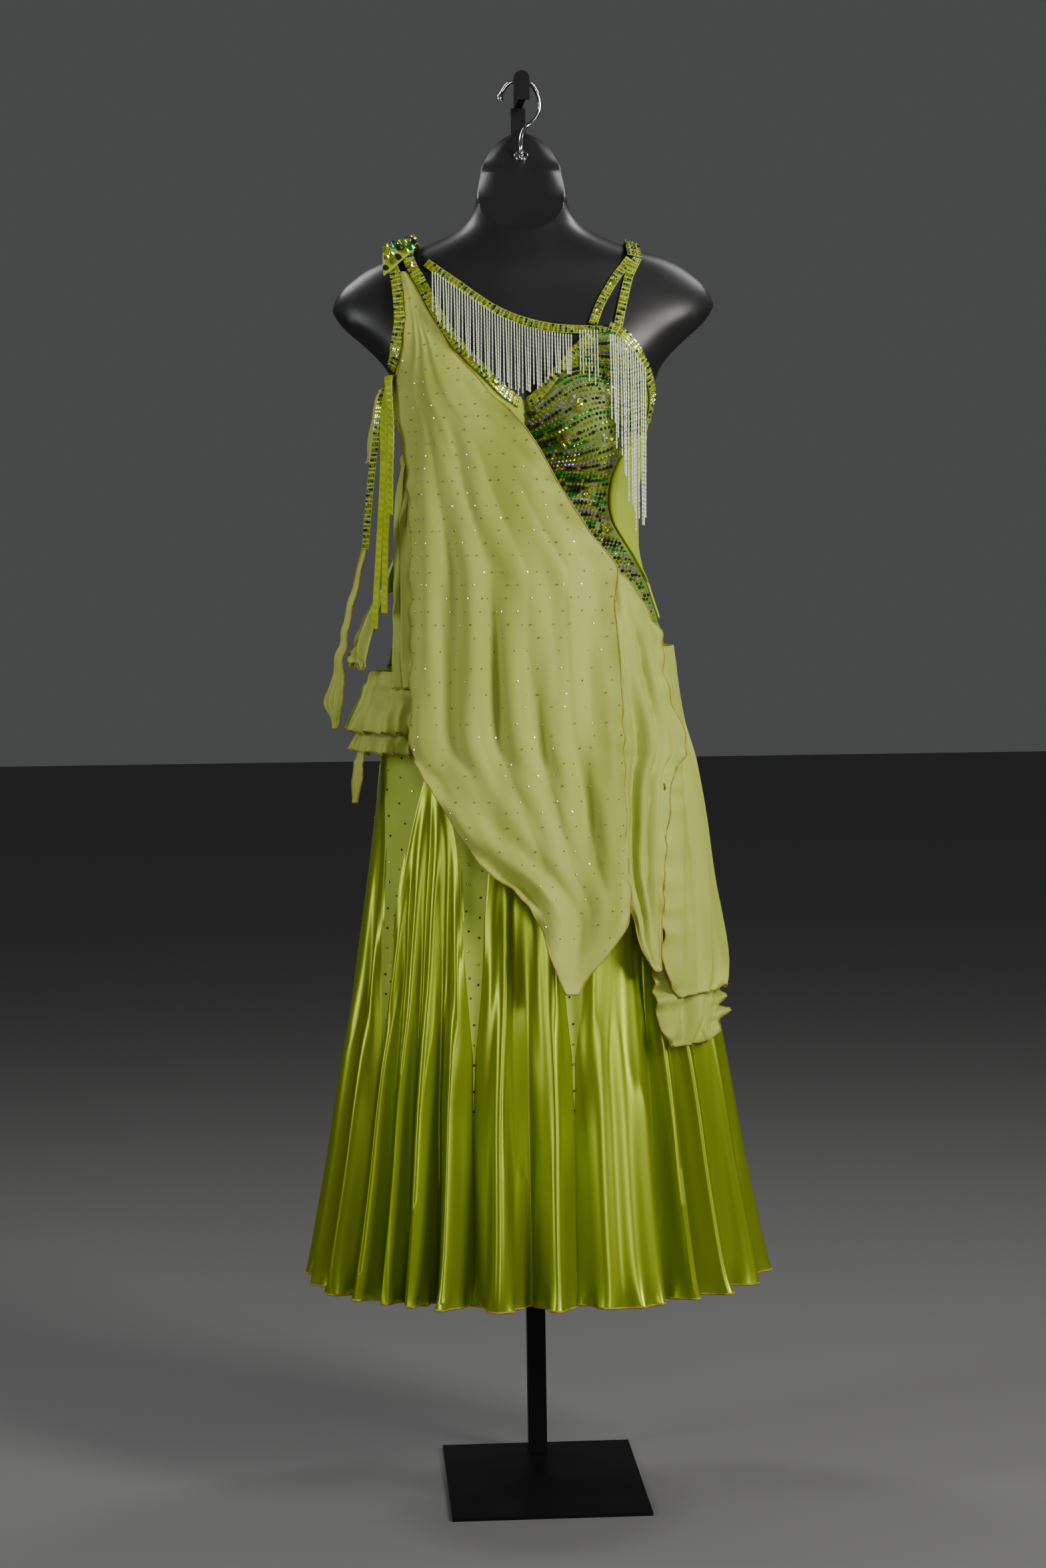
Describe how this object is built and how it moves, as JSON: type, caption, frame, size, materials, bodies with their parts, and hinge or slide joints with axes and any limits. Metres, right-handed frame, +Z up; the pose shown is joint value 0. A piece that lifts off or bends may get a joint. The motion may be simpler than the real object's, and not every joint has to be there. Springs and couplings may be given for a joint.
{
  "type": "sleeveless ballroom dance dress on a limbless hanging torso form and its stand",
  "caption": "Lime green ballroom dance dress with chiffon floats and bead fringe, on a black hanging torso form with a hook and stand.",
  "frame": {"origin": "on the floor under the middle of the form, on the underside of the base plate", "axes": "+Z up, the front of the dress faces -Y, +X is towards the right of the front view"},
  "size_m": [0.533, 0.3798, 1.6595],
  "materials": {
    "black_stand": "satin black paint",
    "form_plastic": "satin black plastic",
    "hook_chrome": "polished chrome",
    "stoned_jersey": "matte stretch jersey covered in small stones",
    "green_jersey": "matte stretch jersey",
    "lime_piping": "shiny lime satin strip",
    "stone_band": "jersey band set with stones",
    "pearl_beads": "pearly bugle beads on thread",
    "green_chiffon": "semi-sheer chiffon",
    "lime_satin": "lime satin"
  },
  "bodies": {
    "root": {"base_plate": "black_stand", "column_lower": "black_stand", "column_upper": "black_stand", "hanger_arm": "black_stand", "hook": "hook_chrome", "hook_washer": "hook_chrome", "form_torso": "form_plastic", "bodice_front_left": "stoned_jersey", "bodice_front_right": "stoned_jersey", "side_panel_right": "green_jersey", "bodice_back_left": "green_jersey", "bodice_back_right": "green_jersey", "skirt_gore_1": "green_jersey", "skirt_gore_2": "green_jersey", "skirt_gore_3": "green_jersey", "skirt_gore_4": "green_jersey", "skirt_gore_5": "green_jersey", "skirt_gore_6": "green_jersey", "skirt_gore_7": "green_jersey", "skirt_gore_8": "green_jersey", "skirt_gore_9": "green_jersey", "piping_right": "lime_piping", "strip_left_long": "lime_piping", "strip_left_middle": "lime_piping", "strip_left_short": "lime_piping", "band_neck_left": "stone_band", "band_neck_right": "stone_band", "band_armhole_left": "stone_band", "band_armhole_right": "stone_band", "necklace_band": "stone_band", "strap_inner": "stone_band", "strap_outer": "stone_band", "strap_back_right": "stone_band", "shoulder_ornament_left": "stone_band", "edge_strap_left": "stone_band", "fringe_front": "pearl_beads", "fringe_side": "pearl_beads", "float_front": "green_chiffon", "float_front_under": "green_chiffon", "hip_float_front": "green_chiffon", "hip_float_side": "green_chiffon", "cascade_right": "green_chiffon", "hip_float_left": "green_chiffon", "ruffle_left_upper": "green_chiffon", "ruffle_left_lower": "green_chiffon", "tail_float_left": "green_chiffon", "small_tail_left": "green_chiffon", "back_drape_left": "green_chiffon", "skirt_godet_1": "lime_satin", "skirt_godet_2": "lime_satin", "skirt_godet_3": "lime_satin", "skirt_godet_4": "lime_satin", "skirt_godet_5": "lime_satin", "skirt_godet_6": "lime_satin", "skirt_godet_7": "lime_satin", "skirt_godet_8": "lime_satin", "skirt_godet_9": "lime_satin"}
  },
  "joints": []
}
